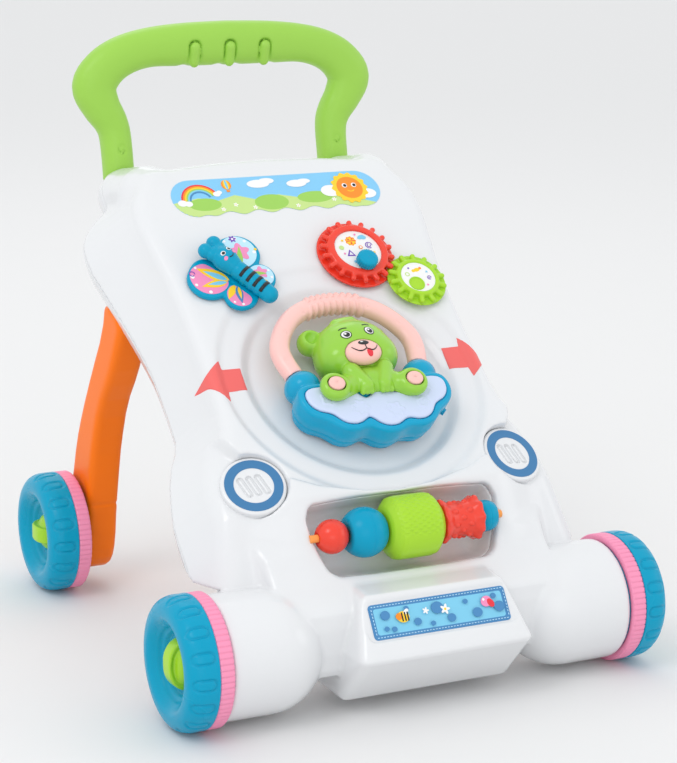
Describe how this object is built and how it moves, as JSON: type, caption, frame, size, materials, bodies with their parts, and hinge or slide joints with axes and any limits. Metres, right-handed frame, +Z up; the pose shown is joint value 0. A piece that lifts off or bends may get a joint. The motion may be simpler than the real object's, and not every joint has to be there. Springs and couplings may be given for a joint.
{
  "type": "baby push walker",
  "caption": "Free-standing push walker for a baby: a sloping play panel on small wheels with an arched push handle, turning gears, a bead roller and a lift-off music toy.",
  "frame": {"origin": "floor level, midway between the left and right sides and between the bumper's nose and the backs of the rear wheels", "axes": "+Z up, +X to the right seen from the front, the play panel and bumper face -Y and the push handle is at +Y"},
  "size_m": [0.401, 0.45, 0.475],
  "materials": {
    "body_white": "glossy cool white moulded shell",
    "grip_green": "satin lime green",
    "leg_orange": "satin orange",
    "axle_steel": "plain drawn rod",
    "wheel_blue": "glossy cyan blue",
    "tread_pink": "fine ribbed pink",
    "knob_green": "satin lime green",
    "rod_orange": "satin orange",
    "print_sky": "printed paper label",
    "print_coral": "printed coral label",
    "print_navy": "printed blue label",
    "screw_steel": "zinc plated",
    "toy_blue": "glossy blue",
    "toy_lilac": "satin pale lilac",
    "bear_green": "glossy green",
    "bear_pink": "satin pink",
    "ring_pink": "satin salmon pink",
    "cell_foil": "wrapped metal cans",
    "board_green": "circuit laminate",
    "speaker_black": "black cone and frame",
    "switch_black": "black",
    "butterfly_blue": "glossy blue",
    "print_pink": "printed pink label",
    "gear_red": "glossy red",
    "gear_green": "glossy lime green",
    "print_white": "printed white label",
    "bead_red": "glossy red",
    "bead_blue": "glossy blue",
    "bead_green": "glossy lime green"
  },
  "bodies": {
    "walker": {"front_shell": "body_white", "rear_shell": "body_white", "base_housing": "body_white", "bead_tray": "body_white", "headlight_left": "body_white", "headlight_right": "body_white", "light_ring_left": "print_navy", "light_ring_right": "print_navy", "handle": "grip_green", "rear_leg_left": "leg_orange", "rear_leg_right": "leg_orange", "front_axle": "axle_steel", "rear_axle_left": "axle_steel", "rear_axle_right": "axle_steel", "bead_rod": "rod_orange", "top_label": "print_sky", "arrow_labels": "print_coral", "badge_label": "print_navy", "shell_screws": "screw_steel", "butterfly_pivot": "axle_steel", "gear_pivots": "axle_steel"},
    "music_toy": {"toy_housing": "toy_blue", "toy_back_cover": "toy_blue", "key_plate": "toy_lilac", "bear": "bear_green", "bear_muzzle": "bear_pink", "toy_handle": "ring_pink", "battery_door": "toy_blue", "batteries": "cell_foil", "circuit_board": "board_green", "speaker": "speaker_black"},
    "paw_left": {"paw_button_left": "bear_pink"},
    "paw_right": {"paw_button_right": "bear_pink"},
    "switch": {"power_switch": "switch_black"},
    "butterfly": {"butterfly_body": "butterfly_blue", "butterfly_wings": "butterfly_blue", "wing_labels": "print_pink"},
    "gear_large": {"gear_large": "gear_red", "gear_large_disc": "print_white"},
    "crank": {"gear_knob": "bead_blue"},
    "gear_small": {"gear_small": "gear_green", "gear_small_disc": "print_white"},
    "red_ball": {"bead_red": "bead_red"},
    "blue_ball": {"bead_blue_large": "bead_blue"},
    "green_roller": {"roller_green": "bead_green"},
    "red_roller": {"roller_red": "bead_red"},
    "small_blue_ball": {"bead_blue_small": "bead_blue"},
    "wheel_front_left": {"wheel_front_left": "wheel_blue", "tread_front_left": "tread_pink"},
    "knob_front_left": {"knob_front_left": "knob_green"},
    "wheel_front_right": {"wheel_front_right": "wheel_blue", "tread_front_right": "tread_pink"},
    "knob_front_right": {"knob_front_right": "knob_green"},
    "wheel_rear_left": {"wheel_rear_left": "wheel_blue", "tread_rear_left": "tread_pink"},
    "knob_rear_left": {"knob_rear_left": "knob_green"},
    "wheel_rear_right": {"wheel_rear_right": "wheel_blue", "tread_rear_right": "tread_pink"},
    "knob_rear_right": {"knob_rear_right": "knob_green"}
  },
  "joints": [
    {"name": "toy_lift_off", "type": "slide", "parent": "walker", "child": "music_toy", "axis": [0, -0.6587, 0.7524], "range_m": [0, 0.15]},
    {"name": "paw_press_left", "type": "slide", "parent": "music_toy", "child": "paw_left", "axis": [0, 0.6587, -0.7524], "range_m": [0, 0.002], "stiffness_N_per_m": 600, "springref_m": -0.001},
    {"name": "paw_press_right", "type": "slide", "parent": "music_toy", "child": "paw_right", "axis": [0, 0.6587, -0.7524], "range_m": [0, 0.002], "stiffness_N_per_m": 600, "springref_m": -0.001},
    {"name": "power_slide", "type": "slide", "parent": "music_toy", "child": "switch", "axis": [0.766, 0.4836, 0.4234], "range_m": [0, 0.003]},
    {"name": "butterfly_spin", "type": "hinge", "parent": "walker", "child": "butterfly", "pos_m": [-0.065, 0.01576, 0.28966], "axis": [0, -0.6587, 0.7524], "continuous": true},
    {"name": "gear_large_spin", "type": "hinge", "parent": "walker", "child": "gear_large", "pos_m": [0.0445, 0.02526, 0.29931], "axis": [0, -0.6587, 0.7524], "continuous": true},
    {"name": "crank_knob_spin", "type": "hinge", "parent": "gear_large", "child": "crank", "pos_m": [0.046, 0.00879, 0.29686], "axis": [0, -0.6587, 0.7524], "continuous": true},
    {"name": "gear_small_spin", "type": "hinge", "parent": "walker", "child": "gear_small", "pos_m": [0.0875, 0.00156, 0.27856], "axis": [0, -0.6587, 0.7524], "continuous": true},
    {"name": "red_ball_spin", "type": "hinge", "parent": "walker", "child": "red_ball", "pos_m": [-0.0629, -0.153, 0.126], "axis": [1, 0, 0], "continuous": true},
    {"name": "blue_ball_spin", "type": "hinge", "parent": "walker", "child": "blue_ball", "pos_m": [-0.036, -0.153, 0.126], "axis": [1, 0, 0], "continuous": true},
    {"name": "green_roller_spin", "type": "hinge", "parent": "walker", "child": "green_roller", "pos_m": [0.0025, -0.153, 0.126], "axis": [1, 0, 0], "continuous": true},
    {"name": "red_roller_spin", "type": "hinge", "parent": "walker", "child": "red_roller", "pos_m": [0.0425, -0.153, 0.126], "axis": [1, 0, 0], "continuous": true},
    {"name": "small_blue_ball_spin", "type": "hinge", "parent": "walker", "child": "small_blue_ball", "pos_m": [0.067, -0.153, 0.126], "axis": [1, 0, 0], "continuous": true},
    {"name": "wheel_spin_front_left", "type": "hinge", "parent": "walker", "child": "wheel_front_left", "pos_m": [-0.185, -0.164, 0.05], "axis": [1, 0, 0], "continuous": true},
    {"name": "drag_knob_front_left", "type": "hinge", "parent": "walker", "child": "knob_front_left", "pos_m": [-0.185, -0.164, 0.05], "axis": [1, 0, 0], "range_deg": [0, 180]},
    {"name": "wheel_spin_front_right", "type": "hinge", "parent": "walker", "child": "wheel_front_right", "pos_m": [0.185, -0.164, 0.05], "axis": [1, 0, 0], "continuous": true},
    {"name": "drag_knob_front_right", "type": "hinge", "parent": "walker", "child": "knob_front_right", "pos_m": [0.185, -0.164, 0.05], "axis": [1, 0, 0], "range_deg": [0, 180]},
    {"name": "wheel_spin_rear_left", "type": "hinge", "parent": "walker", "child": "wheel_rear_left", "pos_m": [-0.165, 0.175, 0.05], "axis": [1, 0, 0], "continuous": true},
    {"name": "drag_knob_rear_left", "type": "hinge", "parent": "walker", "child": "knob_rear_left", "pos_m": [-0.165, 0.175, 0.05], "axis": [1, 0, 0], "range_deg": [0, 180]},
    {"name": "wheel_spin_rear_right", "type": "hinge", "parent": "walker", "child": "wheel_rear_right", "pos_m": [0.165, 0.175, 0.05], "axis": [1, 0, 0], "continuous": true},
    {"name": "drag_knob_rear_right", "type": "hinge", "parent": "walker", "child": "knob_rear_right", "pos_m": [0.165, 0.175, 0.05], "axis": [1, 0, 0], "range_deg": [0, 180]}
  ],
  "couplings": [
    {"joint": "gear_small_spin", "follows": "gear_large_spin", "ratio": -1.2857}
  ]
}
